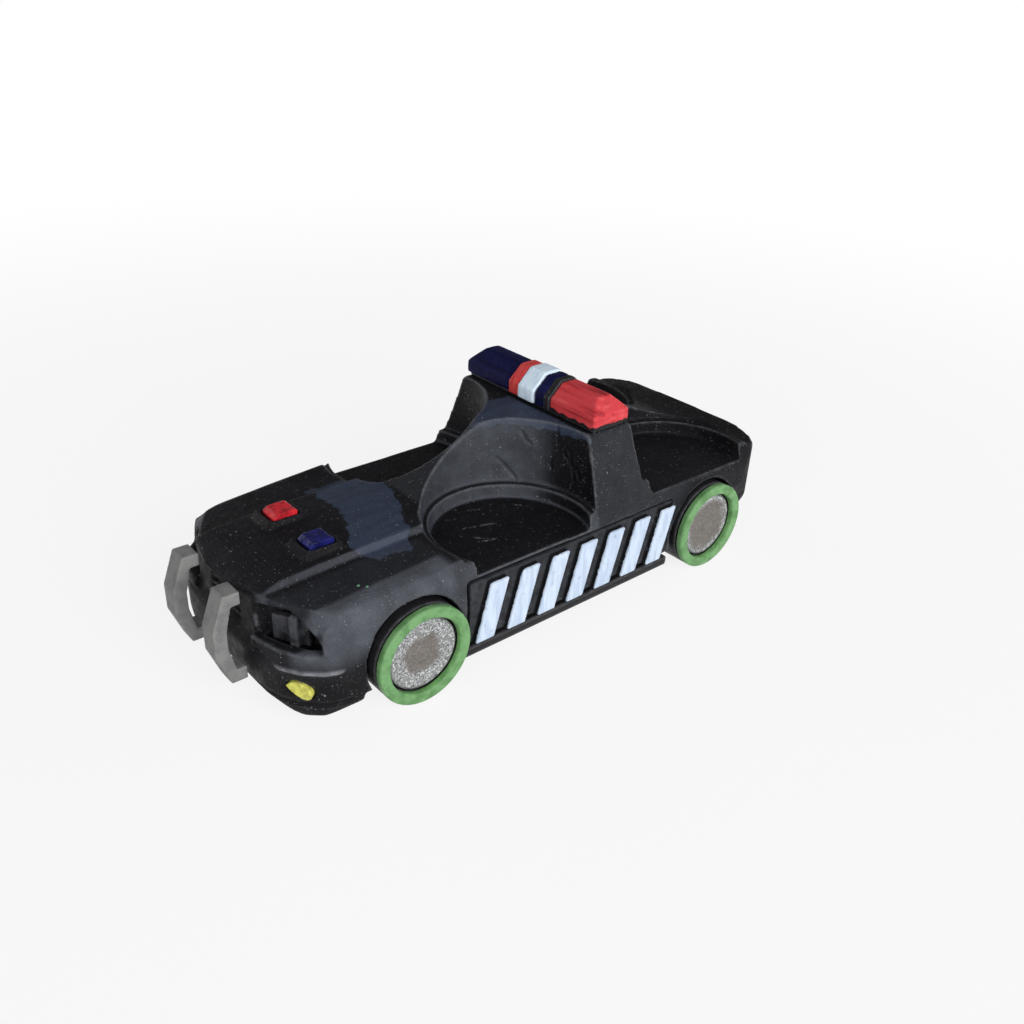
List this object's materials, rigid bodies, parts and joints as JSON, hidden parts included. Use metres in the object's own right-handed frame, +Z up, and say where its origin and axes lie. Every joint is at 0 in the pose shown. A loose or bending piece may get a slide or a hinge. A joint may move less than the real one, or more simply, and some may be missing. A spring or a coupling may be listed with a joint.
{
  "type": "toy police car",
  "caption": "Toy police car with stepped round figure pockets open to the sides, grey push bars, a banded roof light bar and wheelsets that roll freely under a screwed-on chassis plate.",
  "frame": {"origin": "on the ground under the middle of the overall length and width", "axes": "+X towards the nose, +Y towards the car's left side, +Z up"},
  "size_m": [0.1014, 0.045, 0.0349],
  "materials": {
    "body_black": "hand-painted satin black over fine print lines",
    "chassis_black": "plain matt black",
    "wheel_black": "satin black",
    "ring_green": "matt green paint",
    "hub_silver": "glittering silver paint",
    "steel": "bright drawn steel",
    "light_red": "brushed-on red paint",
    "light_navy": "navy paint",
    "light_white": "white paint",
    "light_black": "satin black",
    "lamp_blue": "glossy blue paint",
    "lamp_red": "glossy red paint",
    "bar_grey": "flat grey paint",
    "headlamp_smoke": "dark satin lens",
    "fog_yellow": "yellow paint",
    "panel_pale": "pale blue-white paint on black"
  },
  "bodies": {
    "car_body": {"body_shell": "body_black", "chassis_plate": "chassis_black", "chassis_screw_1": "steel", "chassis_screw_2": "steel", "chassis_screw_3": "steel", "chassis_screw_4": "steel", "light_bar_base": "light_black", "light_bar_navy_lens": "light_navy", "light_bar_red_band": "light_red", "light_bar_white_band": "light_white", "light_bar_navy_band": "light_navy", "light_bar_collar": "light_black", "light_bar_red_lens": "light_red", "hood_lamp_blue": "lamp_blue", "hood_lamp_red": "lamp_red", "push_bar_left": "bar_grey", "push_bar_right": "bar_grey", "headlamp_left": "headlamp_smoke", "headlamp_right": "headlamp_smoke", "fog_lamp_left": "fog_yellow", "fog_lamp_right": "fog_yellow", "side_panel_left": "panel_pale", "side_panel_right": "panel_pale"},
    "front_wheelset": {"front_axle": "steel", "front_left_wheel": "wheel_black", "front_left_ring": "ring_green", "front_left_hub": "hub_silver", "front_right_wheel": "wheel_black", "front_right_ring": "ring_green", "front_right_hub": "hub_silver"},
    "rear_wheelset": {"rear_axle": "steel", "rear_left_wheel": "wheel_black", "rear_left_ring": "ring_green", "rear_left_hub": "hub_silver", "rear_right_wheel": "wheel_black", "rear_right_ring": "ring_green", "rear_right_hub": "hub_silver"}
  },
  "joints": [
    {"name": "front_axle_spin", "type": "hinge", "parent": "car_body", "child": "front_wheelset", "pos_m": [0.02652, 0, 0.0078], "axis": [0, 1, 0], "continuous": true},
    {"name": "rear_axle_spin", "type": "hinge", "parent": "car_body", "child": "rear_wheelset", "pos_m": [-0.03497, 0, 0.0078], "axis": [0, 1, 0], "continuous": true}
  ]
}
